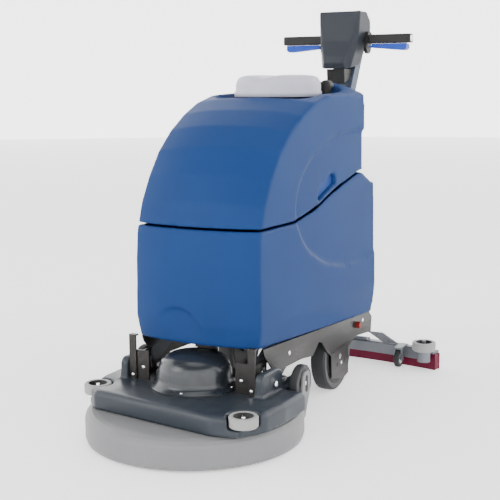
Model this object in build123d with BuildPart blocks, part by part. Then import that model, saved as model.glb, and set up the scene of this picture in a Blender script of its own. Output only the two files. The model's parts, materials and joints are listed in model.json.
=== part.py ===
from build123d import *
from math import atan2, cos, degrees, pi, radians, sin, sqrt
import os

# Walk-behind wet dry floor scrubber. Millimetres, +Z up, the machine drives towards -Y.
# The origin lies on the floor under the brush axis. "Left" is the machine's left side, +X.

os.makedirs("parts", exist_ok=True)

# ---- tanks ----
TANK_WALL = 14.0
CORNER_Y = 15.0             # front corners
BULGE_FRONT = 33.0          # crown of the front across the machine
BULGE_REAR = 36.0           # rise of the top towards the back
BULGE_HALF = 186.0
SHOULDER_Y = 500.0          # centre of the quarter ellipse of the front profile
SHOULDER_Z = 436.0
TOP_Z = 852.0
FOOT_Z = 234.0              # lower edge at the front corners
FOOT_SLOPE = 47.0 / 729.0   # the lower edge falls towards the back
BAND_HEIGHT = 52.0
LOWER_REAR = 755.0
UPPER_REAR = 664.0
SEAM_GAP = 4.0
SIDE_DEPTH = 7.0            # oval recess in both sides

# ---- chassis and wheels ----
PLATE_OUT = 178.0
PLATE_T = 4.0
AXLE_Y = 522.0
WHEEL_R = 100.0
WHEEL_X = 150.0
WHEEL_W = 44.0
AXLE_R = 8.0
FIT = 0.05

# ---- deck ----
SKIRT_R = 277.0
SKIRT_Z = 6.0
COVER_Z = 79.0
COVER_TOP = 128.0
DOME_TOP = 218.0
ROLLER_R = 35.0
SIDE_WHEEL = (234.0, 130.0, 131.0)
SIDE_WHEEL_R = 47.0
BRUSH_R = 222.0

# ---- handle ----
PIVOT_Y = 942.0
PIVOT_Z = 835.0
BAR_Y = 990.0
BAR_Z = 1022.0
GRIP_END = 219.0

# ---- squeegee ----
BLADE_R = 1665.0
BLADE_Y0 = 897.0 - 1665.0
SWING_Y = 790.0
LIFT_Y = 840.0
LIFT_Z = 115.0


def finish(piece, name):
    """Labels a finished piece and writes its file."""
    piece.part.label = name
    export_step(piece.part, f"parts/{name}.step")


def slab(points, half):
    """A solid across the machine, outlined in Y and Z."""
    with BuildPart() as cut:
        with BuildSketch(Plane.YZ):
            with BuildLine():
                Polyline(*points, close=True)
            make_face()
        extrude(amount=half, both=True)
    return cut.part


def span(points, x0, x1):
    """A solid from x0 to x1, outlined in Y and Z."""
    with BuildPart() as cut:
        with BuildSketch(Plane.YZ.offset(x0)):
            with BuildLine():
                Polyline(*points, close=True)
            make_face()
        extrude(amount=x1 - x0)
    return cut.part


def block(x0, x1, y0, y1, z0, z1):
    """A plain block between two corners."""
    with BuildPart() as cut:
        with BuildSketch(Plane.XY.offset(z0)):
            with Locations(((x0 + x1) / 2, (y0 + y1) / 2)):
                Rectangle(x1 - x0, y1 - y0)
        extrude(amount=z1 - z0)
    return cut.part


def post(x, y, z0, z1, radius):
    """An upright cylinder."""
    with BuildPart() as cut:
        with BuildSketch(Plane.XY.offset(z0)):
            with Locations((x, y)):
                Circle(radius)
        extrude(amount=z1 - z0)
    return cut.part


def rod(x0, x1, y, z, radius):
    """A cylinder along X."""
    with BuildPart() as cut:
        with BuildSketch(Plane.YZ.offset(x0)):
            with Locations((y, z)):
                Circle(radius)
        extrude(amount=x1 - x0)
    return cut.part


# ---- tank form ----
def skin_point(s, x, inset):
    """Point of the front and top skin: s is 0..1 up the front, 1..2 over the shoulder, 2..3 along the top."""
    half = SHOULDER_Y - CORNER_Y
    rise = TOP_Z - SHOULDER_Z
    if s < 1:
        y, z, ny, nz, crown = CORNER_Y, -60 + s * (SHOULDER_Z + 60), -1.0, 0.0, BULGE_FRONT
    elif s < 2:
        a = (s - 1) * pi / 2
        y, z = SHOULDER_Y - half * cos(a), SHOULDER_Z + rise * sin(a)
        ny, nz = -cos(a) * rise, sin(a) * half
        ny, nz = ny / sqrt(ny * ny + nz * nz), nz / sqrt(ny * ny + nz * nz)
        crown = BULGE_FRONT + (8 - BULGE_FRONT) * (s - 1) ** 1.3
    else:
        t = min(1.0, (s - 2) * 260 / 150)
        y, z, ny, nz = SHOULDER_Y + (s - 2) * 260, TOP_Z, 0.0, 1.0
        crown = 8 + (BULGE_REAR - 8) * (3 * t * t - 2 * t * t * t)
    bulge = crown * (1 - min(1.7, abs(x) / BULGE_HALF) ** 2.6) - inset
    return (x, y + ny * bulge, z + nz * bulge)


def skin(inset=0.0):
    """The crowned front and top surface, wider than the tanks."""
    stations = [i * 3 / 36 for i in range(37)]
    across = [-280 + i * 560 / 20 for i in range(21)]
    grid = [[skin_point(s, x, inset) for x in across] for s in stations]
    return Face.make_surface_from_array_of_points(grid, tol=0.1)


FOOT_PLANE = Plane(origin=(0, CORNER_Y, FOOT_Z), x_dir=(1, 0, 0), z_dir=(0, FOOT_SLOPE, 1))
SIDE_X, SIDE_FLARE, SIDE_LEAN = 177.5, 0.03, 0.016
BAND_Z = FOOT_Z + BAND_HEIGHT


def front_cut(inset):
    """What lies ahead of the tanks' foot, which draws in towards its lower edge."""
    with BuildPart() as ahead:
        with BuildSketch(Plane.XY.offset(BAND_Z + 20)):
            with BuildLine():
                front = [skin_point(0, -240 + i * 40, inset) for i in range(13)]
                front = [(x, y - 2.8) for x, y, _ in front]
                Spline(*front)
                Polyline(front[-1], (240, -300), (-240, -300), front[0])
            make_face()
        extrude(amount=200, dir=(0, 9, -BAND_HEIGHT))
    return ahead.part


def tank_form(inset=0.0):
    """Both tanks as one solid, or their inside when inset."""
    with BuildPart() as form:
        with BuildSketch(Plane.XY.offset(120)):
            with Locations((0, (LOWER_REAR - inset - 130) / 2)):
                Rectangle(560, LOWER_REAR - inset + 130)
        extrude(amount=840)
        for side in (-1, 1):
            wall = Plane(origin=(side * (SIDE_X - inset), 25, 530), z_dir=(side, -SIDE_FLARE, SIDE_LEAN))
            split(bisect_by=wall, keep=Keep.BOTTOM)
        fillet(form.edges().filter_by(lambda e: e.center().Y > 700 and abs(e.center().X) > 150
               and e.length > 700), 22)
        for side in (-1, 1):
            point = (side * (SIDE_X - inset + (530 - BAND_Z) * SIDE_LEAN), 25, BAND_Z)
            split(bisect_by=Plane(origin=point, z_dir=(side, -SIDE_FLARE, -0.16)), keep=Keep.BOTTOM)
        split(bisect_by=Plane(origin=(0, LOWER_REAR - inset, 236), z_dir=(0, 1, -0.15)), keep=Keep.BOTTOM)
        split(bisect_by=FOOT_PLANE.offset(inset), keep=Keep.TOP)
        split(bisect_by=skin(inset), keep=Keep.TOP)
        add(front_cut(inset), mode=Mode.SUBTRACT)
    return form.part


SEAM = [(200, 526), (283, 536), (344, 548), (420, 571), (486, 590), (554, 606), (604, 617), (648, 625)]


def above_seam(lift, top, rear):
    """Everything over the seam, which climbs to the back in a long S."""
    with BuildPart() as zone:
        with BuildSketch(Plane.YZ):
            with BuildLine():
                Polyline((rear, SEAM[-1][1] + lift), (rear, top), (-160, top), (-160, 526 + lift),
                         (200, 526 + lift))
                Spline(*[(y, z + lift) for y, z in SEAM], tangents=[(1, 0), (1, 0.12)])
                Line((648, SEAM[-1][1] + lift), (rear, SEAM[-1][1] + lift))
            make_face()
        extrude(amount=330, both=True)
    return zone.part


def side_oval(side):
    """Cutter for the shallow oval recess that runs out at the back of one side."""
    wall = Plane(origin=(side * (177.5 - SIDE_DEPTH), 25, 530), x_dir=(side * 0.03, 1, 0),
                 z_dir=(side, -0.03, 0.016))
    height = 27.0 if wall.y_dir.Z > 0 else -27.0
    with BuildPart() as oval:
        with BuildSketch(wall):
            with Locations((575, height)):
                Ellipse(385, 193)
        extrude(amount=60)
    return oval.part


outer = tank_form()
inner = tank_form(TANK_WALL)
oval_left = side_oval(1)
oval_right = side_oval(-1)
CAN_Y = 62.0
CAN_POCKET = post(0, CAN_Y, 100, 250, 42)

# ---- solution tank: an open tub with a battery bay ----
with BuildPart() as bay:
    add(inner)
    add(block(-300, 300, -200, 600, 100, 246), mode=Mode.SUBTRACT)
    add(post(0, CAN_Y, 100, 264, 56), mode=Mode.SUBTRACT)
    add(slab([(640, 556), (640, 1000), (900, 1000), (900, 540)], 330), mode=Mode.SUBTRACT)

with BuildPart() as solution_tank:
    add(outer)
    add(bay.part, mode=Mode.SUBTRACT)
    add(above_seam(0, 1000, 656), mode=Mode.SUBTRACT)
    add(slab([(655, 625), (655, 1000), (900, 1000), (900, 588), (734, 590), (668, 621)], 330), mode=Mode.SUBTRACT)
    add(oval_left, mode=Mode.SUBTRACT)
    add(oval_right, mode=Mode.SUBTRACT)
    add(CAN_POCKET, mode=Mode.SUBTRACT)
finish(solution_tank, "solution_tank")

# ---- recovery tank: closed tank that tips back on the ledge ----
HINGE_Y, HINGE_Z = 694.0, 630.0
LID_Y = 482.0
LID_R = 124.0
RIM_Z = 838.0

with BuildPart() as recovery_tank:
    add(outer)
    add(above_seam(SEAM_GAP, 1000, UPPER_REAR), mode=Mode.INTERSECT)
    with BuildPart(mode=Mode.PRIVATE) as hollow:
        add(inner)
        add(above_seam(SEAM_GAP + TANK_WALL, RIM_Z - 12, UPPER_REAR - TANK_WALL), mode=Mode.INTERSECT)
    add(hollow.part, mode=Mode.SUBTRACT)
    with BuildSketch(Plane.XY.offset(RIM_Z)):
        with Locations((0, 490)):
            RectangleRounded(304, 304, 70)
    extrude(amount=120, mode=Mode.SUBTRACT)
    with BuildSketch(Plane.XY.offset(RIM_Z - 20)):
        with Locations((0, LID_Y)):
            Circle(100)
    extrude(amount=40, mode=Mode.SUBTRACT)
    add(oval_left, mode=Mode.SUBTRACT)
    add(oval_right, mode=Mode.SUBTRACT)
    for side in (-1, 1):
        x0, x1 = sorted((side * 100, side * 130))
        add(span([(655, 640), (HINGE_Y - 8, HINGE_Z - 9), (HINGE_Y + 8, HINGE_Z - 9), (HINGE_Y + 8, HINGE_Z + 10),
                  (655, 668)], x0, x1))
        add(rod(x0 - 0.001, x1 + 0.001, HINGE_Y, HINGE_Z, 5 + FIT), mode=Mode.SUBTRACT)
finish(recovery_tank, "recovery_tank")

# ---- inside the recovery tank: vacuum motor, float cage and ball ----
with BuildPart() as vacuum_motor:
    add(post(-104, 590, 716, RIM_Z - 12, 46))
    add(post(-104, 590, 690, 716, 36))
finish(vacuum_motor, "vacuum_motor")

with BuildPart() as float_cage:
    add(post(64, 607, 700, RIM_Z - 12, 36))
    add(post(64, 607, 704, RIM_Z - 12, 32), mode=Mode.SUBTRACT)
    with BuildSketch(Plane.XZ.offset(-607)):
        with Locations((64, 752)):
            SlotOverall(80, 16, rotation=90)
    extrude(amount=60, both=True, mode=Mode.SUBTRACT)
finish(float_cage, "float_cage")

with BuildPart() as float_ball:
    with Locations((64, 607, 727)):
        Sphere(22)
finish(float_ball, "float_ball")

# ---- suction elbow in the rim, beside the lid ----
with BuildPart() as suction_elbow:
    add(post(97, 594, RIM_Z, 874, 17))
    with BuildSketch(Plane.XZ.offset(-594)):
        with Locations((97, 874)):
            Circle(17)
    extrude(amount=-22)
    with Locations((97, 594, 874)):
        Sphere(17)
finish(suction_elbow, "suction_elbow")

# ---- lid ----
LID_PIN_Y, LID_PIN_Z = 628.0, 896.0

with BuildPart() as lid_seal:
    add(post(0, LID_Y, RIM_Z, RIM_Z + 5, 112))
    add(post(0, LID_Y, RIM_Z, RIM_Z + 5, 101), mode=Mode.SUBTRACT)
finish(lid_seal, "lid_seal")

with BuildPart() as tank_lid:
    with BuildSketch(Plane.XZ.offset(-LID_Y)):
        with BuildLine():
            Polyline((0, 903), (70, 906), (106, 903), (119, 892), (LID_R, 872), (LID_R, RIM_Z + 6),
                     (104, RIM_Z + 6), (104, RIM_Z + 12), (LID_R - 5, RIM_Z + 12), (LID_R - 5, 870), (114, 887),
                     (104, 897), (70, 900), (0, 897), close=True)
        make_face()
    revolve(axis=Axis((0, LID_Y, 0), (0, 0, 1)))
    for side in (-1, 1):
        x0, x1 = sorted((side * 30, side * 44))
        add(span([(590, 884), (LID_PIN_Y, 888), (LID_PIN_Y + 8, 896), (LID_PIN_Y, 904), (590, 900)], x0, x1))
        add(rod(x0 - 0.001, x1 + 0.001, LID_PIN_Y, LID_PIN_Z, 3 + FIT), mode=Mode.SUBTRACT)
    add(block(-20, 20, 349, 361, RIM_Z + 10, RIM_Z + 30))
finish(tank_lid, "tank_lid")

with BuildPart() as lid_hinge:
    add(rod(-44, 44, LID_PIN_Y, LID_PIN_Z, 3))
    add(span([(LID_PIN_Y - 8, RIM_Z), (LID_PIN_Y + 8, RIM_Z), (LID_PIN_Y + 6, 902), (LID_PIN_Y - 6, 902)],
             -29, 29))
finish(lid_hinge, "lid_hinge")

# ---- tank hinge on the ledge ----
with BuildPart() as tank_hinge:
    add(rod(-131, 131, HINGE_Y, HINGE_Z, 5))
    for side in (-1, 1):
        x0, x1 = sorted((side * 70, side * 99))
        add(span([(HINGE_Y - 12, 614.6), (HINGE_Y + 12, 603.3), (HINGE_Y + 8, HINGE_Z + 9),
                  (HINGE_Y - 8, HINGE_Z + 9)], x0, x1))
finish(tank_hinge, "tank_hinge")

# ---- batteries ----
for name, y0 in (("front_battery", 214), ("rear_battery", 398)):
    with BuildPart() as battery:
        add(block(-152, 152, y0, y0 + 172, 246, 452))
        fillet(battery.edges().filter_by(Axis.Z), 6)
        add(post(-110, y0 + 30, 452, 466, 9))
        add(post(110, y0 + 30, 452, 466, 9))
    finish(battery, name)

# ---- chassis ----
PLATE_OUTLINE = [(38, 214), (123, 133), (164, 157), (258, 155), (330, 146), (343, 154), (373, 176), (398, 167),
                 (427, 135), (460, 115), (464, 48), (548, 26), (590, 35), (588, 112), (647, 132), (774, 120),
                 (781, 179)]


def foot(y, drop=0.3):
    """Height of the tank's lower face, less a gap."""
    return FOOT_Z - FOOT_SLOPE * (y - CORNER_Y) - drop


with BuildPart() as left_side_plate:
    points = [(30, foot(30))] + PLATE_OUTLINE[:-1] + [(781, 165), (755, foot(744, 0.5)), (748, foot(748))]
    add(span(points, PLATE_OUT - PLATE_T, PLATE_OUT))
    add(rod(PLATE_OUT - 6, PLATE_OUT + 1, AXLE_Y, WHEEL_R, AXLE_R + FIT), mode=Mode.SUBTRACT)
    add(rod(PLATE_OUT - 6, PLATE_OUT + 1, 655, 165, 7), mode=Mode.SUBTRACT)
finish(left_side_plate, "left_side_plate")
with BuildPart() as right_side_plate:
    mirror(left_side_plate.part, about=Plane.YZ)
finish(right_side_plate, "right_side_plate")

with BuildPart() as chassis_tray:
    inside = PLATE_OUT - PLATE_T
    for y0, y1, half in ((100, 395, inside), (395, 625, 118), (625, 750, inside)):
        add(slab([(y0, foot(y0)), (y1, foot(y1)), (y1, foot(y1, 5)), (y0, foot(y0, 5))], half))
    add(slab([(726, foot(726, 5)), (750, foot(750, 5)), (750, 128), (726, 128)], inside))
    for side in (-1, 1):
        x0, x1 = sorted((side * 148, side * 154))
        add(span([(100, foot(100)), (130, foot(130)), (130, 196), (66, 163), (38, 168), (38, 196)], x0, x1))
        x0, x1 = sorted((side * 149, side * 170))
        add(rod(x0, x1, 52, 178, 5))
finish(chassis_tray, "chassis_tray")

with BuildPart() as axle:
    add(rod(-PLATE_OUT - 2, PLATE_OUT + 2, AXLE_Y, WHEEL_R, AXLE_R))
finish(axle, "axle")

with BuildPart() as drain_bung:
    add(rod(PLATE_OUT - 18, PLATE_OUT + 4, 655, 165, 6.5))
    add(rod(PLATE_OUT + 0.02, PLATE_OUT + 12, 655, 165, 10))
finish(drain_bung, "drain_bung")

with BuildPart() as water_valve:
    add(block(-66, -40, 134, 172, 196, foot(172, 5.2)))
    add(post(-53, 150, 178, 197, 8))
finish(water_valve, "water_valve")

# ---- lower mast and squeegee bracket ----
LEVER_Y, LEVER_Z = 896.0, 600.0
with BuildPart() as lower_mast:
    add(slab([(750.1, 128), (812, 128), (826, 180), (958, 800), (918, 800), (782, 165), (750.1, 165)], 38))
    add(slab([(918, 800), (958, 800), (PIVOT_Y + 18, PIVOT_Z), (PIVOT_Y - 18, PIVOT_Z)], 18))
    add(rod(-18, 18, PIVOT_Y, PIVOT_Z, 18))
    add(rod(-19, 19, PIVOT_Y, PIVOT_Z, 8 + FIT), mode=Mode.SUBTRACT)
    add(rod(-54, -38, LEVER_Y, LEVER_Z, 6))
finish(lower_mast, "lower_mast")

with BuildPart() as squeegee_bracket:
    add(block(-30, 30, 750.1, 768, 90, 127.9))
    add(block(-30, 30, 768, 812, 124, 127.9))
    add(block(-30, 30, 768, 812, 90, 98))
    add(post(0, SWING_Y, 98, 124, 8))
finish(squeegee_bracket, "squeegee_bracket")

# ---- wheels ----
with BuildPart() as left_tyre:
    with BuildSketch(Plane.XY):
        with BuildLine():
            Polyline((WHEEL_X - 22, 78), (WHEEL_X - 22, 94), (WHEEL_X - 16, WHEEL_R), (WHEEL_X + 16, WHEEL_R),
                     (WHEEL_X + 22, 94), (WHEEL_X + 22, 78), close=True)
        make_face()
    revolve(axis=Axis.X)
tyre_at_axle = left_tyre.part.moved(Location((0, AXLE_Y, WHEEL_R)))
with BuildPart() as left_tyre:
    add(tyre_at_axle)
finish(left_tyre, "left_tyre")
with BuildPart() as right_tyre:
    mirror(left_tyre.part, about=Plane.YZ)
finish(right_tyre, "right_tyre")

with BuildPart() as left_hub:
    add(rod(WHEEL_X - 22, WHEEL_X + 22, AXLE_Y, WHEEL_R, 78))
    add(rod(WHEEL_X + 12, WHEEL_X + 23, AXLE_Y, WHEEL_R, 66), mode=Mode.SUBTRACT)
    add(rod(WHEEL_X - 23, WHEEL_X - 12, AXLE_Y, WHEEL_R, 66), mode=Mode.SUBTRACT)
    add(rod(WHEEL_X - 24, WHEEL_X + 23.4, AXLE_Y, WHEEL_R, 22))
    add(rod(WHEEL_X - 25, WHEEL_X + 26, AXLE_Y, WHEEL_R, AXLE_R + FIT), mode=Mode.SUBTRACT)
finish(left_hub, "left_hub")
with BuildPart() as right_hub:
    mirror(left_hub.part, about=Plane.YZ)
finish(right_hub, "right_hub")

# ---- deck ----
COVER_OUTLINE = [(155, -201), (222, -187), (262, -118), (272, -40), (272, 78), (214, 78), (214, 196), (-214, 196),
                 (-214, 78), (-270, 78), (-268, -20), (-256, -66), (-240, -118), (-203, -151)]
ROLLERS = {"left_corner_roller": (222.0, -158.0), "right_corner_roller": (-236.0, -88.0)}

with BuildPart() as deck_cover:
    with BuildSketch(Plane.XY.offset(COVER_Z)):
        with BuildLine():
            Polyline(*COVER_OUTLINE, close=True)
        make_face()
        fillet(vertices().filter_by(lambda v: v.Y < -30), 16)
    extrude(amount=COVER_TOP - COVER_Z)
    fillet(deck_cover.edges().filter_by(Plane.XY).group_by(Axis.Z)[-1], 14)
    for x, y in ROLLERS.values():
        add(post(x, y, 98, 140, ROLLER_R + 5), mode=Mode.SUBTRACT)
        add(post(x, y, 96, 101, 14))
    add(post(0, 0, COVER_Z - 1, COVER_Z + 12, 12 + FIT), mode=Mode.SUBTRACT)
    for side in (-1, 1):
        x0, x1 = sorted((side * 170, side * 182))
        add(block(x0, x1, 78, 200, 98, 140), mode=Mode.SUBTRACT)
    for side in (-1, 1):
        x0, x1 = sorted((side * 184, side * 206))
        add(span([(-34, 126), (-30, 172), (-18, 185), (60, 183), (82, 174), (90, 126)], x0, x1))
        x0, x1 = sorted((side * 200, side * 213))
        add(rod(x0, x1, 30, 150, 8))
        x0, x1 = sorted((side * 200, side * (SIDE_WHEEL[0] - 12)))
        add(span([(100, 122), (114, 147), (146, 147), (160, 122)], x0, x1))
        x0, x1 = sorted((side * 200, side * (SIDE_WHEEL[0] + 11)))
        add(rod(x0, x1, SIDE_WHEEL[1], SIDE_WHEEL[2], 6))
finish(deck_cover, "deck_cover")

with BuildPart() as motor_dome:
    with BuildSketch(Plane.XZ):
        with BuildLine():
            Polyline((0, COVER_TOP), (112, COVER_TOP), (112, 134), (104, 138), (97, 144), (94, 172), (87, 194),
                     (70, 210), (38, DOME_TOP), (0, DOME_TOP), close=True)
        make_face()
    revolve(axis=Axis.Z)
finish(motor_dome, "motor_dome")

with BuildPart() as brush_motor:
    add(post(0, CAN_Y, 186, DOME_TOP + 12, 30))
    add(motor_dome.part, mode=Mode.SUBTRACT)
finish(brush_motor, "brush_motor")

with BuildPart() as left_hanger:
    add(block(162, 182.5, -22, -18, COVER_TOP, 246))
    add(block(162, 182.5, -22, -8, 242, 246))
    add(block(162, 166, -18, 74, COVER_TOP, 197))
    add(block(126, 166, -18, -14, COVER_TOP, 206))
    with BuildSketch(Plane.YZ.offset(160)):
        with Locations((52, 163)):
            SlotOverall(44, 13, rotation=90)
    extrude(amount=8, mode=Mode.SUBTRACT)
finish(left_hanger, "left_hanger")
with BuildPart() as right_hanger:
    mirror(left_hanger.part, about=Plane.YZ)
finish(right_hanger, "right_hanger")

for name, (x, y) in ROLLERS.items():
    with BuildPart() as roller:
        add(post(x, y, 101.3, 126, ROLLER_R))
        fillet(roller.edges(), 2.5)
        add(post(x, y, 124, 140, 20), mode=Mode.SUBTRACT)
        add(post(x, y, 120, 127, 6))
    finish(roller, name)

with BuildPart() as left_side_wheel:
    x, y, z = SIDE_WHEEL
    add(rod(x - 11, x + 10, y, z, SIDE_WHEEL_R))
    fillet(left_side_wheel.edges(), 3)
    add(rod(x - 12, x + 12, y, z, 6 + FIT), mode=Mode.SUBTRACT)
finish(left_side_wheel, "left_side_wheel")
with BuildPart() as right_side_wheel:
    mirror(left_side_wheel.part, about=Plane.YZ)
finish(right_side_wheel, "right_side_wheel")

# ---- splash skirt ----
SKIRT_PROFILE = [(SKIRT_R - 3, SKIRT_Z), (SKIRT_R - 1, 13), (SKIRT_R, 16), (SKIRT_R, 58), (SKIRT_R - 2, 66),
                 (SKIRT_R - 8, 73), (SKIRT_R - 18, 77), (SKIRT_R - 32, 78.4), (120, 78.4), (120, 74),
                 (SKIRT_R - 34, 73.5), (SKIRT_R - 20, 71), (SKIRT_R - 11, 66), (SKIRT_R - 6, 56),
                 (SKIRT_R - 6, SKIRT_Z)]

with BuildPart() as splash_skirt:
    with BuildSketch(Plane.XZ):
        with BuildLine():
            Polyline(*SKIRT_PROFILE, close=True)
        make_face()
    revolve(axis=Axis.Z)
    for side in (-1, 1):
        x0, x1 = sorted((side * 246, side * 251))
        y, z = SIDE_WHEEL[1], SIDE_WHEEL[2]
        with BuildSketch(Plane.YZ.offset(x0)):
            with BuildLine():
                Polyline((y - 36, 45), (y - 36, 74), (y - 20, z + 22), (y - 12, z + 32), (y + 12, z + 32),
                         (y + 20, z + 22), (y + 18, 105), (y - 8, 45), close=True)
            make_face()
            with Locations((y, z)):
                SlotOverall(44, 16, rotation=90, mode=Mode.SUBTRACT)
        extrude(amount=x1 - x0)
finish(splash_skirt, "splash_skirt")

# ---- brush ----
with BuildPart() as bristles:
    add(post(0, 0, 0, 36, BRUSH_R + 4))
finish(bristles, "bristles")

with BuildPart() as brush_disc:
    add(post(0, 0, 36, 54, BRUSH_R))
    fillet(brush_disc.edges().group_by(Axis.Z)[-1], 5)
finish(brush_disc, "brush_disc")

with BuildPart() as drive_hub:
    add(post(0, 0, 54, 76, 46))
    add(post(0, 0, 76, COVER_Z + 10, 12))
finish(drive_hub, "drive_hub")

# ---- upper mast, console and handlebar ----
SLOPE = Plane(origin=(0, 1007, 1095), x_dir=(1, 0, 0), z_dir=(0, 26, 34))
MAST_DIR = (0.466, 0.885)
MAST_TOP = (1050.0, 1040.0)


def mast_point(along, across):
    """Point on the upper mast's side outline."""
    return (PIVOT_Y + along * MAST_DIR[0] + across * MAST_DIR[1], PIVOT_Z + along * MAST_DIR[1]
            - across * MAST_DIR[0])


with BuildPart() as upper_mast:
    add(slab([mast_point(0, -20), mast_point(232, -20), mast_point(232, 20), mast_point(0, 20)], 38))
    add(rod(-38, 38, PIVOT_Y, PIVOT_Z, 20))
    add(rod(-18.6, 18.6, PIVOT_Y, PIVOT_Z, 44), mode=Mode.SUBTRACT)
    add(slab([mast_point(-30, -60), mast_point(30, -60), mast_point(30, 60), mast_point(-30, 60)], 18.6),
        mode=Mode.SUBTRACT)
    add(rod(-40, 40, PIVOT_Y, PIVOT_Z, 8 + FIT), mode=Mode.SUBTRACT)
    add(rod(-40, 40, BAR_Y, BAR_Z, 16), mode=Mode.SUBTRACT)
finish(upper_mast, "upper_mast")

with BuildPart() as pivot_bolt:
    add(rod(-38.1, 38.1, PIVOT_Y, PIVOT_Z, 8))
    add(rod(38.1, 46, PIVOT_Y, PIVOT_Z, 13))
    add(rod(-46, -38.1, PIVOT_Y, PIVOT_Z, 13))
finish(pivot_bolt, "pivot_bolt")

front = -20.1
with BuildPart() as console_head:
    add(slab([(930, 1108), (905, 1015), (884, 965), (879, 945), (887, 928), mast_point(108, front),
              mast_point(226, front),
              (1024, 1082), (990, 1108)], 70))
    for side in (-1, 1):
        with BuildSketch(Plane.XZ.offset(-1200)):
            with BuildLine():
                Polyline((side * 70, 1112), (side * 66, 1020), (side * 48, 926), (side * 48, 880),
                         (side * 120, 880), (side * 120, 1112), close=True)
            make_face()
        extrude(amount=400, mode=Mode.SUBTRACT)
        corner = Plane(origin=(side * 69, 930, 1106), z_dir=(side * 4025, -2737, -50))
        split(bisect_by=corner, keep=Keep.BOTTOM)
    add(rod(-80, 80, BAR_Y, BAR_Z, 11 + FIT), mode=Mode.SUBTRACT)
    with BuildSketch(SLOPE.offset(-5)):
        with Locations((-34, 0), (0, 0)):
            Circle(8.4)
    extrude(amount=8, mode=Mode.SUBTRACT)
finish(console_head, "console_head")

with BuildPart() as neck_cover:
    add(slab([(898, 927.6), (962, 927.6), mast_point(60, front), (902, 884)], 30))
finish(neck_cover, "neck_cover")

with BuildPart() as handlebar:
    add(rod(-GRIP_END + 4, GRIP_END - 4, BAR_Y, BAR_Z, 11))
    for side in (-1, 1):
        x0, x1 = sorted((side * 70.2, side * 79.8))
        add(rod(x0, x1, BAR_Y, BAR_Z, 24))
        add(rod(x0, x1, BAR_Y - 8, BAR_Z - 24, 22))
finish(handlebar, "handlebar")

with BuildPart() as left_grip:
    add(block(80, GRIP_END, BAR_Y - 17, BAR_Y + 17, BAR_Z - 14, BAR_Z + 14))
    fillet(left_grip.edges(), 4)
    add(rod(70, GRIP_END - 4, BAR_Y, BAR_Z, 11 + FIT), mode=Mode.SUBTRACT)
finish(left_grip, "left_grip")
with BuildPart() as right_grip:
    mirror(left_grip.part, about=Plane.YZ)
finish(right_grip, "right_grip")

with BuildPart() as left_trigger:
    add(span([(976, 982), (976, 1006.6), (981, 1006.6), (1006, 1002.6), (1006, 982)], 92, 208))
    with BuildSketch(Plane.XZ.offset(-960)):
        with BuildLine():
            Polyline((80, 995), (188, 985), (200, 985), (212, 994), (212, 970), (80, 970), close=True)
        make_face()
    extrude(amount=-60, mode=Mode.SUBTRACT)
    add(rod(84, 98, 978, 998, 4))
finish(left_trigger, "left_trigger")
with BuildPart() as right_trigger:
    mirror(left_trigger.part, about=Plane.YZ)
finish(right_trigger, "right_trigger")

# ---- controls on the slope that faces the operator ----
with BuildPart() as control_panel:
    with BuildSketch(SLOPE.offset(0.05)):
        RectangleRounded(108, 36, 6)
        with Locations((-34, 0), (0, 0)):
            Circle(8.4, mode=Mode.SUBTRACT)
    extrude(amount=3)
finish(control_panel, "control_panel")
for name, x in (("brush_button", -34), ("vacuum_button", 0)):
    with BuildPart() as button:
        with BuildSketch(SLOPE.offset(-1)):
            with Locations((x, 0)):
                Circle(8)
        extrude(amount=9)
    finish(button, name)
with BuildPart() as flow_knob:
    with BuildSketch(SLOPE.offset(3.35)):
        with Locations((34, 0)):
            Circle(11)
    extrude(amount=12)
    with BuildSketch(SLOPE.offset(15.3)):
        with Locations((34, 0)):
            Rectangle(4, 20)
    extrude(amount=3)
finish(flow_knob, "flow_knob")

# ---- squeegee lever on the mast ----
with BuildPart() as squeegee_lever:
    add(span([(LEVER_Y - 10, LEVER_Z - 12), (LEVER_Y + 10, LEVER_Z - 12), (LEVER_Y + 52, LEVER_Z + 150),
              (LEVER_Y + 34, LEVER_Z + 154)], -50, -42))
    add(rod(-66, -42, LEVER_Y + 43, LEVER_Z + 152, 12))
    add(rod(-51, -41, LEVER_Y, LEVER_Z, 6 + FIT), mode=Mode.SUBTRACT)
finish(squeegee_lever, "squeegee_lever")

# ---- squeegee ----
with BuildPart() as swing_arm:
    add(block(-20, 20, 777, 832, 102, 120))
    add(post(0, SWING_Y, 90, 130, 8 + FIT), mode=Mode.SUBTRACT)
    for side in (-1, 1):
        x0, x1 = sorted((side * 6, side * 20))
        add(span([(818, 102), (LIFT_Y, LIFT_Z - 10), (LIFT_Y + 10, LIFT_Z), (LIFT_Y, LIFT_Z + 10), (818, 120)],
                 x0, x1))
    add(rod(-42, 42, LIFT_Y, LIFT_Z, 5))
finish(swing_arm, "swing_arm")


def strip(r0, r1, half, z0, z1):
    """Curved strip of the squeegee between two radii."""
    a = degrees(atan2(half, BLADE_R))
    with BuildPart() as cut:
        with BuildSketch(Plane.XY.offset(z0)):
            with BuildLine():
                for r in (r0, r1):
                    CenterArc((0, BLADE_Y0), r, 90 - a, 2 * a)
                for s in (-1, 1):
                    b = radians(90 + s * a)
                    Line((r0 * cos(b), BLADE_Y0 + r0 * sin(b)), (r1 * cos(b), BLADE_Y0 + r1 * sin(b)))
            make_face()
        extrude(amount=z1 - z0)
    return cut.part


with BuildPart() as squeegee_body:
    add(strip(BLADE_R - 17, BLADE_R + 17, 372, 50, 58))
    add(strip(BLADE_R - 16, BLADE_R + 16, 352, 26, 50))
    add(strip(BLADE_R - 9, BLADE_R + 9, 352, 22, 50))
    add(post(0, 897, 58, 104, 21))
    add(post(0, 897, 50, 105, 17), mode=Mode.SUBTRACT)
finish(squeegee_body, "squeegee_body")

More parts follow.
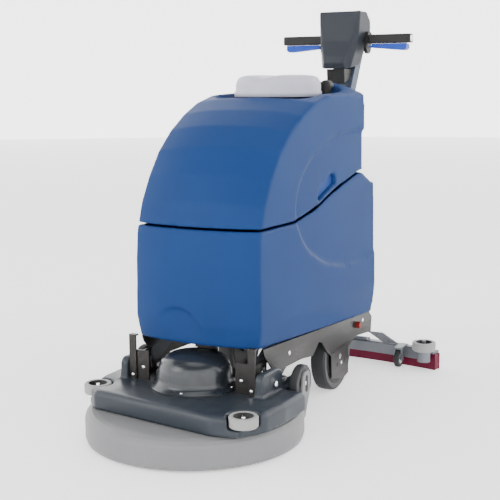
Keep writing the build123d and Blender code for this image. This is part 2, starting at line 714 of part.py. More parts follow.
with BuildPart() as squeegee_frame:
    add(strip(BLADE_R - 12, BLADE_R + 12, 360, 58.05, 61))
    add(block(-34, 34, 868, 926, 58.05, 61))
    add(post(0, 897, 58, 62, 21.1), mode=Mode.SUBTRACT)
    for side in (-1, 1):
        x0, x1 = sorted((side * 24, side * 34))
        add(span([(LIFT_Y - 10, LIFT_Z), (LIFT_Y, LIFT_Z + 10), (LIFT_Y + 12, LIFT_Z + 6), (898, 66), (898, 58.05),
                  (872, 58.05), (LIFT_Y, LIFT_Z - 10)], x0, x1))
        x0, x1 = sorted((side * 34, side * 128))
        add(span([(870, 74), (906, 66), (900, 58.05), (886, 58.05), (866, 68)], x0, x1))
        x0, x1 = sorted((side * 20, side * 36))
        add(rod(x0, x1, LIFT_Y, LIFT_Z, 5 + FIT), mode=Mode.SUBTRACT)
        x0, x1 = sorted((side * 322, side * 348))
        add(block(x0, x1, 816, 872, 58.05, 64))
        add(post(side * 335, 822, 30, 63, 20))
        add(post(side * 335, 822, 58.05, 96, 6))
        x0, x1 = sorted((side * 238, side * 262))
        add(block(x0, x1, 820, 886, 58.05, 64))
        add(block(x0, x0 + 3, 824, 842, 22, 58.05))
        add(block(x1 - 3, x1, 824, 842, 22, 58.05))
        add(rod(x0, x1, 833, 27, 4))
finish(squeegee_frame, "squeegee_frame")

for name, r in (("front_blade", BLADE_R - 14), ("rear_blade", BLADE_R + 9.1)):
    with BuildPart() as blade:
        add(strip(r, r + 4.9, 378, 0, 49.9))
        add(strip(r - 1, r + 6, 353, 26, 60), mode=Mode.SUBTRACT)
    finish(blade, name)

for side, word in ((1, "left"), (-1, "right")):
    with BuildPart() as bumper:
        add(post(side * 335, 822, 65, 92, 36))
        fillet(bumper.edges(), 2.5)
        add(post(side * 335, 822, 60, 100, 6 + FIT), mode=Mode.SUBTRACT)
    finish(bumper, f"{word}_squeegee_roller")
    with BuildPart() as caster:
        x0, x1 = sorted((side * 242.5, side * 257.5))
        add(rod(x0, x1, 833, 27, 27))
        fillet(caster.edges(), 2)
        add(rod(x0 - 1, x1 + 1, 833, 27, 4 + FIT), mode=Mode.SUBTRACT)
    finish(caster, f"{word}_caster")
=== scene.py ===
import json
from math import atan2, cos, exp, pi, radians, sin, sqrt

import bmesh
import bpy
from mathutils import Matrix, Vector


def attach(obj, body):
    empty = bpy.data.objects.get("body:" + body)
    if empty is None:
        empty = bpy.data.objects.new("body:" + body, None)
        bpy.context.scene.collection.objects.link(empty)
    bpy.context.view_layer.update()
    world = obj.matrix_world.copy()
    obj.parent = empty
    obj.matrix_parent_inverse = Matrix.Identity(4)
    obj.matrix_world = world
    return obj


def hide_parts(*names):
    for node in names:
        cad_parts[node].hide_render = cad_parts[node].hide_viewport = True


# Walk-behind floor scrubber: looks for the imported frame. Metres, +Z up, the machine drives towards -Y.
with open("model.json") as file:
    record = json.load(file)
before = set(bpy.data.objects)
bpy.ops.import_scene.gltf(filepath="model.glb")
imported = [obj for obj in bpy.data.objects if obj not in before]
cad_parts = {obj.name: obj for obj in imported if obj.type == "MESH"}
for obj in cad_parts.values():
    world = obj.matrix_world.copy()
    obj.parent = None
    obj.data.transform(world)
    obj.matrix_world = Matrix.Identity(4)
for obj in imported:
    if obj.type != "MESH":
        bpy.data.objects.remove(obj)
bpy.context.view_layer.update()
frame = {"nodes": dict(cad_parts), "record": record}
NODES = frame["nodes"]
BODY_OF = {}
for body, members in frame["record"]["behaviour"]["bodies"].items():
    for member in members:
        BODY_OF[member] = body


# ---- materials ----
def new_material(name, color, rough, metal=0.0, **sockets):
    """A principled material; colour and gloss sit on the shader's own sockets."""
    mat = bpy.data.materials.new(name)
    mat.use_nodes = True
    shader = mat.node_tree.nodes["Principled BSDF"]
    shader.inputs["Base Color"].default_value = (*color, 1)
    shader.inputs["Roughness"].default_value = rough
    shader.inputs["Metallic"].default_value = metal
    shader.inputs["Specular IOR Level"].default_value = 0.14
    for key, value in sockets.items():
        shader.inputs[key.replace("_", " ")].default_value = value
    return mat


def grain(mat, scale, strength, distance, stretch=(1, 1, 1), detail=3.0):
    """Moulded or brushed grain as a bump."""
    tree = mat.node_tree
    nodes, links = tree.nodes, tree.links
    coord = nodes.new("ShaderNodeTexCoord")
    mapping = nodes.new("ShaderNodeMapping")
    mapping.inputs["Scale"].default_value = stretch
    noise = nodes.new("ShaderNodeTexNoise")
    noise.inputs["Scale"].default_value = scale
    noise.inputs["Detail"].default_value = detail
    bump = nodes.new("ShaderNodeBump")
    bump.inputs["Strength"].default_value = strength
    bump.inputs["Distance"].default_value = distance
    links.new(coord.outputs["Object"], mapping.inputs["Vector"])
    links.new(mapping.outputs["Vector"], noise.inputs["Vector"])
    links.new(noise.outputs["Fac"], bump.inputs["Height"])
    links.new(bump.outputs["Normal"], nodes["Principled BSDF"].inputs["Normal"])
    return mat


def mottle(mat, low, high, scale, stretch=(1, 1, 1), socket="Base Color", detail=4.0):
    """Uneven colour or gloss between two values."""
    tree = mat.node_tree
    nodes, links = tree.nodes, tree.links
    coord = nodes.new("ShaderNodeTexCoord")
    mapping = nodes.new("ShaderNodeMapping")
    mapping.inputs["Scale"].default_value = stretch
    noise = nodes.new("ShaderNodeTexNoise")
    noise.inputs["Scale"].default_value = scale
    noise.inputs["Detail"].default_value = detail
    ramp = nodes.new("ShaderNodeValToRGB")
    ramp.color_ramp.elements[0].position = 0.32
    ramp.color_ramp.elements[1].position = 0.68
    ramp.color_ramp.elements[0].color = (*low, 1)
    ramp.color_ramp.elements[1].color = (*high, 1)
    links.new(coord.outputs["Object"], mapping.inputs["Vector"])
    links.new(mapping.outputs["Vector"], noise.inputs["Vector"])
    links.new(noise.outputs["Fac"], ramp.inputs["Fac"])
    links.new(ramp.outputs["Color"], nodes["Principled BSDF"].inputs[socket])
    return mat


def grey(value):
    """A neutral grey triple."""
    return (value, value, value)


BLUE = new_material("blue_polyethylene", (0.0072, 0.029, 0.108), 0.48, Specular_IOR_Level=0.07)
grain(BLUE, 900, 0.10, 0.0004)
mottle(BLUE, (0.0069, 0.0277, 0.103), (0.0075, 0.0303, 0.113), 5)
# Lighter copy of the tank blue for the backs of the finger pockets: painted light in the hollow.
BLUE_POCKET_LIT = new_material("blue_pocket_painted_light", (0.010, 0.038, 0.16), 0.55)
SLATE = new_material("slate_plastic", (0.017, 0.022, 0.029), 0.36, Specular_IOR_Level=0.3)
grain(SLATE, 700, 0.12, 0.0004)
mottle(SLATE, grey(0.30), grey(0.46), 14, socket="Roughness")
DOME = new_material("dome_plastic", (0.012, 0.015, 0.019), 0.24, Specular_IOR_Level=0.45)
grain(DOME, 600, 0.06, 0.0003)
CONSOLE = new_material("console_plastic", (0.017, 0.020, 0.026), 0.42)
grain(CONSOLE, 1100, 0.25, 0.0004)
MAST = new_material("speckled_coat", (0.04, 0.052, 0.078), 0.42, 0.1)
mottle(MAST, (0.022, 0.03, 0.047), (0.085, 0.108, 0.155), 420, detail=1.0)
STEEL = new_material("stainless", (0.036, 0.034, 0.033), 0.40, 0.85)
grain(STEEL, 260, 0.16, 0.0003, (1, 0.05, 1))
mottle(STEEL, grey(0.26), grey(0.44), 30, (1, 0.1, 1), "Roughness")
BRIGHT = new_material("zinc_bolt", (0.78, 0.78, 0.77), 0.22, 1.0)
DARK_STEEL = new_material("dark_steel", (0.05, 0.055, 0.065), 0.4, 0.4)
grain(DARK_STEEL, 500, 0.1, 0.0003)
BLACK = new_material("black_plastic", grey(0.013), 0.4)
grain(BLACK, 900, 0.12, 0.0003)
GRIP = new_material("grip_rubber", grey(0.018), 0.55)
grain(GRIP, 1300, 0.35, 0.0005)
TYRE = new_material("grey_tyre", (0.026, 0.027, 0.028), 0.6)
grain(TYRE, 800, 0.25, 0.0005)
TYRE_EDGE = new_material("tyre_shoulder", (0.06, 0.061, 0.063), 0.6)
ROLLER = new_material("pale_roller", (0.25, 0.25, 0.245), 0.5)
grain(ROLLER, 700, 0.15, 0.0003)
SKIRT = new_material("skirt_grey", (0.155, 0.157, 0.160), 0.40)
grain(SKIRT, 500, 0.06, 0.0003)
mottle(SKIRT, (0.150, 0.152, 0.155), (0.160, 0.162, 0.165), 6)
BURGUNDY = new_material("burgundy_rubber", (0.095, 0.006, 0.022), 0.4)
grain(BURGUNDY, 500, 0.12, 0.0003)
RED = new_material("red_plastic", (0.14, 0.014, 0.012), 0.4)
CAST = new_material("cast_grey", (0.15, 0.158, 0.175), 0.42, 0.4)
grain(CAST, 400, 0.15, 0.0004)
TRIGGER = new_material("trigger_blue", (0.012, 0.045, 0.30), 0.28)
grain(TRIGGER, 600, 0.06, 0.0003)
LID = new_material("lid_white", (0.52, 0.52, 0.60), 0.35, Transmission_Weight=0.32, IOR=1.35)
grain(LID, 90, 0.10, 0.0015)
GREEN = new_material("green_button", (0.03, 0.28, 0.07), 0.35)
BATTERY = new_material("battery_case", grey(0.025), 0.5)
BRISTLE = new_material("bristle", (0.10, 0.10, 0.12), 0.7)
grain(BRISTLE, 400, 0.9, 0.002, (1, 1, 0.05))
WHITE = new_material("white_nylon", grey(0.62), 0.45)
FLOOR = new_material("floor", grey(0.86), 0.75, Emission_Color=(1, 1, 1, 1), Emission_Strength=0.7)
BACKDROP = new_material("backdrop", grey(0.9), 0.8, Emission_Color=(1, 1, 1, 1), Emission_Strength=1.7)

# Which nodes each material covers.
USES = (
    (BLUE, ("solution_tank", "recovery_tank")),
    (SLATE, ("deck_cover",)),
    (DOME, ("motor_dome",)),
    (CONSOLE, ("console_head",)),
    (LID, ("tank_lid",)),
    (BATTERY, ("front_battery", "rear_battery")),
    (STEEL, ("left_side_plate", "right_side_plate", "left_hanger", "right_hanger", "brush_motor")),
    (BRIGHT, ("axle", "pivot_bolt")),
    (MAST, ("lower_mast", "upper_mast")),
    (DARK_STEEL, ("chassis_tray", "squeegee_bracket", "swing_arm")),
    (RED, ("drain_bung", "water_valve")),
    (BLACK, ("tank_hinge", "vacuum_motor", "float_cage", "lid_seal", "lid_hinge", "neck_cover", "handlebar",
             "control_panel", "flow_knob", "squeegee_lever", "left_hub", "right_hub", "suction_elbow")),
    (WHITE, ("float_ball",)),
    (SKIRT, ("splash_skirt", "brush_disc", "drive_hub")),
    (BRISTLE, ("bristles",)),
    (TRIGGER, ("left_trigger", "right_trigger")),
    (GREEN, ("brush_button", "vacuum_button")),
    (GRIP, ("left_grip", "right_grip")),
    (CAST, ("squeegee_body", "squeegee_frame")),
    (BURGUNDY, ("front_blade", "rear_blade")),
    (ROLLER, ("left_corner_roller", "right_corner_roller", "left_squeegee_roller",
              "right_squeegee_roller")),
    (TYRE, ("left_tyre", "right_tyre", "left_side_wheel", "right_side_wheel", "left_caster",
            "right_caster")),
)
PAINT = {node: mat for mat, nodes in USES for node in nodes}


def repaint(obj, mat):
    """Gives every slot of an object one material."""
    if not obj.material_slots:
        obj.data.materials.append(mat)
    for place in obj.material_slots:
        place.material = mat


for node, obj in NODES.items():
    repaint(obj, PAINT[node])


# ---- mesh helpers ----
WELD = 0.00002      # seams between the faces of a CAD mesh
MERGE = 0.00001     # equal points of a turned mesh
CREASE = 38         # degrees past which a turned edge stays sharp


def place(name, mesh, mats, body):
    """Links a mesh as a piece that rides on a body."""
    obj = bpy.data.objects.new(name, mesh)
    bpy.context.collection.objects.link(obj)
    for mat in mats:
        mesh.materials.append(mat)
    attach(obj, body)
    return obj


def apply_all(obj):
    """Bakes an object's modifiers into its mesh."""
    depsgraph = bpy.context.evaluated_depsgraph_get()
    mesh = bpy.data.meshes.new_from_object(obj.evaluated_get(depsgraph))
    obj.modifiers.clear()
    obj.data = mesh


def cut_away(obj, cutter):
    """Takes a cutter's shape out of an object."""
    cut = obj.modifiers.new("cut", "BOOLEAN")
    cut.operation = "DIFFERENCE"
    cut.solver = "EXACT"
    cut.object = cutter


def softened(node, voxel, rounds, cutters=()):
    """A rounded copy of a CAD node: cut, remeshed and relaxed, so that its edges run over softly."""
    source = NODES[node]
    obj = bpy.data.objects.new(node + "_form", source.data.copy())
    bpy.context.collection.objects.link(obj)
    obj.data.materials.clear()
    weld = obj.modifiers.new("weld", "WELD")
    weld.merge_threshold = WELD
    for cutter in cutters:
        cut_away(obj, cutter)
    remesh = obj.modifiers.new("remesh", "REMESH")
    remesh.mode = "VOXEL"
    remesh.voxel_size = voxel
    remesh.use_smooth_shade = True
    smooth = obj.modifiers.new("smooth", "SMOOTH")
    smooth.factor = 0.5
    smooth.iterations = rounds
    apply_all(obj)
    obj.data.materials.clear()
    obj.data.materials.append(PAINT[node])
    obj.data.polygons.foreach_set("use_smooth", [True] * len(obj.data.polygons))
    for cutter in cutters:
        bpy.data.objects.remove(cutter)
    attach(obj, BODY_OF[node])
    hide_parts(node)
    return obj


def prism(name, outline, to_point, depth):
    """A closed cutter: outline points (u, v) mapped by to_point(u, v, t) at t = 0 and t = depth."""
    mesh = bpy.data.meshes.new(name)
    count = len(outline)
    verts = [to_point(u, v, 0) for u, v in outline] + [to_point(u, v, depth) for u, v in outline]
    faces = [list(range(count)), list(range(2 * count - 1, count - 1, -1))]
    faces += [[i, i + count, (i + 1) % count + count, (i + 1) % count] for i in range(count)]
    mesh.from_pydata(verts, [], faces)
    bm = bmesh.new()
    bm.from_mesh(mesh)
    bmesh.ops.recalc_face_normals(bm, faces=bm.faces)
    bm.to_mesh(mesh)
    bm.free()
    obj = bpy.data.objects.new(name, mesh)
    bpy.context.collection.objects.link(obj)
    return obj


def lathe(name, profile, centre, axis, mats, body, steps=64):
    """Turned piece. profile: (radius, height, material index of the band that follows)."""
    mesh = bpy.data.meshes.new(name)
    verts, faces, index = [], [], []
    turn = Vector((0, 0, 1)).rotation_difference(Vector(axis)).to_matrix()
    for r, h, _ in profile:
        for k in range(steps):
            a = 2 * pi * k / steps
            verts.append(Vector(centre) + turn @ Vector((r * cos(a), r * sin(a), h)))
    for j in range(len(profile) - 1):
        for k in range(steps):
            n = (k + 1) % steps
            faces.append((j * steps + k, j * steps + n, (j + 1) * steps + n, (j + 1) * steps + k))
            index.append(profile[j][2])
    mesh.from_pydata(verts, [], faces)
    bm = bmesh.new()
    bm.from_mesh(mesh)
    for face, mat in zip(bm.faces, index):
        face.material_index = mat
        face.smooth = True
    bmesh.ops.remove_doubles(bm, verts=bm.verts, dist=MERGE)
    bmesh.ops.recalc_face_normals(bm, faces=bm.faces)
    bm.to_mesh(mesh)
    bm.free()
    obj = place(name, mesh, mats, body)
    split = obj.modifiers.new("edges", "EDGE_SPLIT")
    split.split_angle = radians(CREASE)
    apply_all(obj)
    return obj


def bolt(name, centre, axis, radius, height, body, mat=BRIGHT):
    """Round-headed bolt standing on a face."""
    r, h = radius, height
    profile = [(0.0, h, 0), (r * 0.5, h * 0.97, 0), (r * 0.85, h * 0.75, 0), (r, h * 0.4, 0), (r, 0, 0),
               (0, 0, 0)]
    return lathe(name, profile, centre, axis, [mat], body, 24)


# ---- tanks ----
TANK_VOXEL, TANK_ROUNDS = 0.0040, 14
SIDE_X, SIDE_FLARE, SIDE_Y = 0.1772, 0.03, 0.025      # side wall: X at SIDE_Y, and its widening
POCKET_DEPTH = 0.0205
POCKET_CUT = 0.03
FINGER = [(0.362, 0.566), (0.470, 0.606), (0.470, 0.628), (0.452, 0.636), (0.392, 0.616), (0.362, 0.590)]
FINGER_MIDDLE = (0.416, 0.602)
ARCH_X, ARCH_Z = -0.042, 0.236
ARCH_HALF, ARCH_HEIGHT = 0.078, 0.092
ARCH_AHEAD, ARCH_CUT = -0.060, 0.0495                 # where the cutter starts, and how far back it reaches


def left_wall(u, v, t):
    """Point of the left pocket: Y and Z on the wall, t outwards from the pocket's floor."""
    return (SIDE_X + SIDE_FLARE * (u - SIDE_Y) - POCKET_DEPTH + t, u, v)


def right_wall(u, v, t):
    """The same on the right side."""
    x, y, z = left_wall(u, v, t)
    return (-x, y, z)


def front_arch():
    """Cutter for the shallow arch at the foot of the front."""
    outline = [(ARCH_X + ARCH_HALF * cos(radians(a)), ARCH_Z + ARCH_HEIGHT * max(sin(radians(a)), -0.4))
               for a in range(0, 360, 8)]
    return prism("front_arch", outline, lambda u, v, t: (u, ARCH_AHEAD + t, v), ARCH_CUT)


def finger_liner(name, wall):
    """Closed back of a finger pocket: a block behind the wall with the pocket cut out of it, in the lighter
    blue of painted light.
    """
    u0, v0 = FINGER_MIDDLE
    grown = [(u0 + (u - u0) * 1.16, v0 + (v - v0) * 1.22) for u, v in FINGER]
    block = prism(name, grown, lambda u, v, t: wall(u, v, t - 0.006), 0.0135)
    cutter = prism(name + "_cut", FINGER, wall, POCKET_CUT)
    cut_away(block, cutter)
    apply_all(block)
    bpy.data.objects.remove(cutter)
    # The pocket back takes the lighter blue: painted light in the hollow.
    repaint(block, BLUE_POCKET_LIT)
    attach(block, "recovery")


def tanks():
    """Both tanks with soft edges, the front arch and the finger pockets."""
    softened("solution_tank", TANK_VOXEL, TANK_ROUNDS, [front_arch()])
    pockets = [prism("finger_l", FINGER, left_wall, POCKET_CUT),
               prism("finger_r", FINGER, right_wall, POCKET_CUT)]
    softened("recovery_tank", TANK_VOXEL, TANK_ROUNDS, pockets)
    finger_liner("finger_liner_l", left_wall)
    finger_liner("finger_liner_r", right_wall)


# ---- deck and dome ----
DOME_PROFILE = [(0.112, 0.1283), (0.112, 0.1325), (0.1085, 0.1355), (0.1020, 0.1390), (0.0970, 0.1450),
                (0.0950, 0.1560), (0.0935, 0.1700), (0.0900, 0.1840), (0.0835, 0.1955), (0.0740, 0.2045),
                (0.0620, 0.2105), (0.0480, 0.2145), (0.0300, 0.2170), (0.0, 0.2178)]
DOME_SCREW_R, DOME_SCREW_Z = 0.105, 0.1365


def deck():
    """Cover with soft edges, and the turned dome with its four screws."""
    softened("deck_cover", 0.0032, 14)
    dome = lathe("motor_dome_turned", [(r, z, 0) for r, z in DOME_PROFILE], (0, 0, 0), (0, 0, 1), [DOME],
                 "deck", 96)
    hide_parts("motor_dome")
    for k in range(4):
        angle = radians(-78 + 78 * k)
        centre = (DOME_SCREW_R * cos(angle), DOME_SCREW_R * sin(angle), DOME_SCREW_Z)
        bolt(f"dome_screw_{k}", centre, (0, 0, 1), 0.0035, 0.003, "deck")


# ---- console ----
PANEL_CENTRE = Vector((0, 1.007, 1.095))
PANEL_UP = Vector((0, 0.7944, -0.6075))
PANEL_OUT = Vector((0, 0.6075, 0.7944))
BUTTON_X = (-0.034, 0.0)
WELL_R, WELL_DEPTH, WELL_CUT = 0.0105, 0.010, 0.014
GRIP_END = (0.219, 0.990, 1.022)


def button_well(x):
    """Cutter for the well under one press button, on the slope that faces the operator."""
    ring = [(x + WELL_R * cos(radians(a)), WELL_R * sin(radians(a))) for a in range(0, 360, 12)]

    def on_slope(u, v, t):
        return PANEL_CENTRE + Vector((u, 0, 0)) + PANEL_UP * v + PANEL_OUT * (t - WELL_DEPTH)

    return prism("well", ring, on_slope, WELL_CUT)


def console():
    """Console head with soft edges and open button wells, and the bright caps of the grips."""
    softened("console_head", 0.0026, 6, [button_well(x) for x in BUTTON_X])
    x, y, z = GRIP_END
    cap = [(0.0, 0.0012, 0), (0.009, 0.001, 0), (0.0105, 0.0, 0), (0.0, 0.0, 0)]
    for s in (1, -1):
        lathe(f"grip_end_{s}", cap, (s * x, y, z), (s, 0, 0), [BRIGHT], "handle", 32)


# ---- lid ----
LID_Y = 0.482
LID_STEPS = 96
LID_WALL = 0.003
LID_PROFILE = [(0.1235, 0.8445), (0.1235, 0.858), (0.1215, 0.862), (0.1215, 0.876), (0.1188, 0.887),
               (0.1120, 0.895), (0.1005, 0.8992), (0.0850, 0.9010), (0.0700, 0.9016), (0.0550, 0.9018),
               (0.040, 0.9018), (0.025, 0.9018), (0.012, 0.9018), (0.0, 0.9018)]


def lid_height(x, y):
    """Two broad lobes side by side with a waist between them."""
    lobes = max(0.0, 1 - ((abs(x) - 0.062) / 0.075) ** 2) * max(0.0, 1 - (y / 0.125) ** 2)
    return 0.0038 * sqrt(lobes) - 0.006 * exp(-((x / 0.022) ** 2))


def lid_point(j, a):
    """Point at angle a on ring j of the lid: shallow flutes round its side, lobes on its top."""
    r, z = LID_PROFILE[j]
    flute = 1 - 0.012 * (0.5 + 0.5 * cos(12 * a)) * (1 if 1 < j < 8 else 0)
    waist = 1 - 0.035 * (sin(a) ** 16) * (1 if j > 3 else 0)
    x, y = r * flute * waist * cos(a), r * flute * waist * sin(a)
    return (x, LID_Y + y, z + (lid_height(x, y) if j > 4 else 0))


def lid():
    """Translucent lid in place of the CAD one."""
    rings = len(LID_PROFILE)
    verts = [lid_point(j, 2 * pi * k / LID_STEPS) for j in range(rings) for k in range(LID_STEPS)]
    faces = []
    for j in range(rings - 1):
        for k in range(LID_STEPS):
            n = (k + 1) % LID_STEPS
            low, high = j * LID_STEPS, (j + 1) * LID_STEPS
            faces.append((low + k, low + n, high + n, high + k))
    mesh = bpy.data.meshes.new("lid_dome")
    mesh.from_pydata(verts, [], faces)
    bm = bmesh.new()
    bm.from_mesh(mesh)
    bmesh.ops.remove_doubles(bm, verts=bm.verts, dist=MERGE)
    for face in bm.faces:
        face.smooth = True
    bmesh.ops.recalc_face_normals(bm, faces=bm.faces)
    bm.to_mesh(mesh)
    bm.free()
    dome = place("lid_dome", mesh, [LID], "lid")
    wall = dome.modifiers.new("wall", "SOLIDIFY")
    wall.thickness = LID_WALL
    wall.offset = -1
    apply_all(dome)
    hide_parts("tank_lid")


# ---- wheels and rollers ----
SIDE_WHEEL = (0.2335, 0.130, 0.131)
CASTER = (0.25, 0.833, 0.027)
WHEEL = (0.150, 0.522, 0.100)
RIM_R = 0.078
CORNER_ROLLERS = {"left": (0.222, -0.158, 0.1014), "right": (-0.236, -0.088, 0.1014)}
SQUEEGEE_ROLLER = (0.335, 0.822, 0.0651)
SIDES = (("left", 1), ("right", -1))


def side_profile(r, w, hub, dish):
    """Wheel with a soft-shouldered tyre (0), a shoulder line (1) and a dished hub (2)."""
    h = w / 2
    half = [(0.004, h * 0.55, 2), (hub * 0.35, h * 0.55, 2), (hub * 0.42, h - dish, 2),
            (hub * 0.9, h - dish, 2), (hub, h * 0.96, 1), (r * 0.93, h, 0), (r * 0.985, h * 0.8, 0),
            (r, h * 0.45, 0)]
    inward = list(reversed(half))
    back = [(p[0], -p[1], q[2]) for p, q in zip(inward, [half[-1]] + inward[:-1])]
    return half + back


def wheels():
    """Turned side wheels, casters and tyres."""
    for hand, s in SIDES:
        def turned(name, profile, centre, hub_mat, body, node, steps=64):
            x, y, z = centre
            wheel = lathe(name, profile, (s * x, y, z), (s, 0, 0), [TYRE, TYRE_EDGE, hub_mat], body, steps)
            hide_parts(node)

        turned(hand + "_side_wheel_turned", side_profile(0.047, 0.021, 0.029, 0.006), SIDE_WHEEL, BLACK,
               hand + "_side_wheel_body", hand + "_side_wheel")
        turned(hand + "_caster_turned", side_profile(0.027, 0.015, 0.016, 0.003), CASTER, WHITE,
               hand + "_caster_body", hand + "_caster")
        tyre = [p for p in side_profile(0.100, 0.044, 0.079, 0.004) if p[0] >= RIM_R]
        turned(hand + "_tyre_turned", tyre + [(0.079, 0.0211, 0)], WHEEL, BLACK, hand + "_wheel",
               hand + "_tyre", 96)


def roller(name, centre, body, node, height, r):
    """Bumper roller: pale tyre, black dish, bright bolt."""
    h = height
    profile = [(0.0, h * 0.92, 2), (0.0045, h * 0.9, 2), (0.0065, h * 0.72, 2), (0.0065, h * 0.62, 1),
               (r * 0.5, h * 0.6, 1), (r * 0.66, h * 0.82, 1), (r * 0.70, h * 0.985, 0), (r * 0.94, h, 0),
               (r, h * 0.9, 0), (r, h * 0.1, 0), (r * 0.94, 0.0, 0), (0.0, 0.0, 0)]
    piece = lathe(name, profile, centre, (0, 0, 1), [ROLLER, BLACK, BRIGHT], body)
    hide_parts(node)


def rollers():
    """Bumper rollers on the deck's front corners and on the squeegee's ends."""
    for hand, s in SIDES:
        node = hand + "_corner_roller"
        roller(hand + "_corner_turned", CORNER_ROLLERS[hand], node + "_body", node, 0.0257, 0.035)
    x, y, z = SQUEEGEE_ROLLER
    for hand, s in SIDES:
        node = hand + "_squeegee_roller"
        roller(hand + "_squeegee_turned", (s * x, y, z), node + "_body", node, 0.0268, 0.036)


# ---- bolts ----
# name, centre on the left side, whether it faces forwards, radius, height, body
BOLTS = (
    ("tower_bolt", (0.213, 0.030, 0.150), False, 0.0085, 0.004, "deck"),
    ("axle_cap", (0.245, 0.130, 0.131), False, 0.007, 0.004, "deck"),
    ("hanger_bolt", (0.172, -0.022, 0.140), True, 0.005, 0.003, "deck"),
    ("hanger_bolt_b", (0.142, -0.018, 0.162), True, 0.005, 0.003, "deck"),
    ("plate_bolt", (0.178, 0.700, 0.170), False, 0.006, 0.003, "chassis"),
    ("plate_bolt_b", (0.178, 0.180, 0.190), False, 0.006, 0.003, "chassis"),
    ("plate_bolt_c", (0.178, 0.535, 0.078), False, 0.005, 0.002, "chassis"),
)
PLATE_X = 0.178
PLATE_SLOT_Z = 0.078
PLATE_SLOTS_Y = (0.507, 0.562)


def bolts():
    """Bolts on both sides, and flat black discs on the slots by the axle as painted shade."""
    for s in (1, -1):
        for name, (x, y, z), forwards, radius, height, body in BOLTS:
            axis = (0, -1, 0) if forwards else (s, 0, 0)
            bolt(f"{name}_{s}", (s * x, y, z), axis, radius, height, body)
        # The slots are flat black discs: painted shade of the openings.
        for y in PLATE_SLOTS_Y:
            centre = (s * PLATE_X, y, PLATE_SLOT_Z)
            bolt(f"slot_painted_shade_{s}_{int(y * 1000)}", centre, (s, 0, 0), 0.006, 0.0006, "chassis", BLACK)


# ---- squeegee details ----
BRACKET = [(0.150, 0.822, 0.104), (0.200, 0.822, 0.104), (0.236, 0.868, 0.062), (0.186, 0.868, 0.062)]
BRACKET_HOLES = ((0.176, 0.833, 0.0982), (0.208, 0.858, 0.0754))
BRACKET_OUT = (0, -0.67, 0.74)
BLADE_END_X = 0.3585
BLADE_END_REACH = 1.6259      # from the centre of the squeegee's curve
CURVE_Y = -0.768
END_HALF_LENGTH, END_HALF_WIDTH, END_HEIGHT = 0.0095, 0.0135, 0.0490


def plate(name, corners, thick, mats, body):
    """Flat plate between four corners, thickened along its normal."""
    points = [Vector(c) for c in corners]
    normal = (points[1] - points[0]).cross(points[3] - points[0]).normalized()
    mesh = bpy.data.meshes.new(name)
    verts = points + [v + normal * thick for v in points]
    faces = [(3, 2, 1, 0), (4, 5, 6, 7), (0, 1, 5, 4), (1, 2, 6, 5), (2, 3, 7, 6), (3, 0, 4, 7)]
    mesh.from_pydata(verts, [], faces)
    obj = place(name, mesh, mats, body)
    bevel = obj.modifiers.new("bevel", "BEVEL")
    bevel.width = 0.0015
    bevel.segments = 2
    apply_all(obj)


def squeegee():
    """Sloping bracket with two holes on each side, drawn as flat black discs of painted shade, and the
    block that closes each end of the blades.
    """
    for s in (1, -1):
        corners = [(s * x, y, z) for x, y, z in BRACKET]
        if s < 0:
            corners = [corners[k] for k in (1, 0, 3, 2)]
        plate(f"squeegee_plate_{s}", corners, 0.004, [CAST], "squeegee")
        # The holes are flat black discs: painted shade of the openings.
        for x, y, z in BRACKET_HOLES:
            name = f"hole_painted_shade_{s}_{int(x * 1000)}"
            bolt(name, (s * x, y, z), BRACKET_OUT, 0.005, 0.0004, "squeegee", BLACK)
        tilt = atan2(s * BLADE_END_X, BLADE_END_REACH)
        along = Vector((cos(tilt), -sin(tilt), 0)) * END_HALF_LENGTH
        out = Vector((sin(tilt), cos(tilt), 0)) * END_HALF_WIDTH
        middle = Vector((s * BLADE_END_X, CURVE_Y + BLADE_END_REACH, 0.0005))
        corners = [middle - along - out, middle + along - out, middle + along + out, middle - along + out]
        plate(f"blade_end_{s}", corners, END_HEIGHT, [BURGUNDY], "squeegee")


# ---- stage, light and camera ----
# name, place, size, power, aim
LAMPS = (
    ("key", (-2.2, -3.0, 3.2), 2.4, 60, (0.1, 0.1, 0.5)),
    ("fill", (3.6, -1.2, 2.2), 2.4, 4, (0, 0.3, 0.5)),
    ("top", (0.2, 0.3, 4.2), 3.0, 55, (0, 0.3, 0.5)),
)
SKY = 0.3
BACKDROP_R, BACKDROP_HEIGHT = 16, 16
CAMERA_PLACE = (1.2782, -2.1467, 0.8690)
CAMERA_AZIMUTH, CAMERA_PITCH, CAMERA_ROLL = 0.48065, 0.157387, -0.00532      # radians
SENSOR = 36
LENS = 73.44648


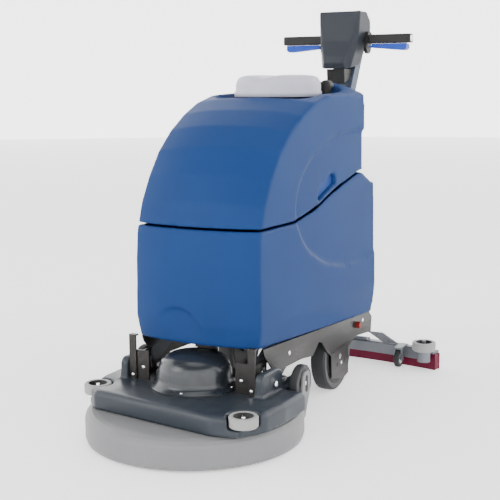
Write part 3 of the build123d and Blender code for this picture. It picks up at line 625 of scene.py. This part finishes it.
def stage():
    """Pale floor, a round backdrop and soft light."""
    bpy.ops.mesh.primitive_plane_add(size=60, location=(0, 0, 0))
    floor = bpy.context.object
    floor.name = "floor"
    repaint(floor, FLOOR)
    bpy.ops.mesh.primitive_cylinder_add(vertices=96, radius=BACKDROP_R, depth=BACKDROP_HEIGHT,
                                        end_fill_type="NOTHING", location=(0, 0, BACKDROP_HEIGHT / 2 - 0.1))
    wall = bpy.context.object
    wall.name = "backdrop"
    wall.data.polygons.foreach_set("use_smooth", [True] * len(wall.data.polygons))
    repaint(wall, BACKDROP)
    world = bpy.data.worlds.new("studio")
    bpy.context.scene.world = world
    world.use_nodes = True
    world.node_tree.nodes["Background"].inputs["Color"].default_value = (1.0, 1.0, 1.0, 1)
    world.node_tree.nodes["Background"].inputs["Strength"].default_value = SKY
    for name, where, size, power, aim in LAMPS:
        data = bpy.data.lights.new(name, "AREA")
        data.shape = "DISK"
        data.size = size
        data.energy = power
        lamp = bpy.data.objects.new(name, data)
        bpy.context.collection.objects.link(lamp)
        lamp.location = where
        lamp.rotation_euler = (Vector(aim) - Vector(where)).to_track_quat("-Z", "Y").to_euler()


def camera():
    """Three-quarter front view from the machine's left."""
    azimuth, pitch, roll = CAMERA_AZIMUTH, CAMERA_PITCH, CAMERA_ROLL
    forward = Vector((-sin(azimuth) * cos(pitch), cos(azimuth) * cos(pitch), -sin(pitch)))
    side = Vector((cos(azimuth), sin(azimuth), 0))
    up = side.cross(forward)
    right = cos(roll) * side + sin(roll) * up
    above = -sin(roll) * side + cos(roll) * up
    data = bpy.data.cameras.new("camera")
    data.sensor_width = SENSOR
    data.lens = LENS
    data.clip_end = 200
    cam = bpy.data.objects.new("camera", data)
    bpy.context.collection.objects.link(cam)
    basis = Matrix((right, above, -forward)).transposed()
    cam.matrix_world = Matrix.Translation(CAMERA_PLACE) @ basis.to_4x4()
    bpy.context.scene.camera = cam


# ---- the whole machine ----
tanks()
deck()
console()
lid()
wheels()
rollers()
bolts()
squeegee()
stage()
camera()
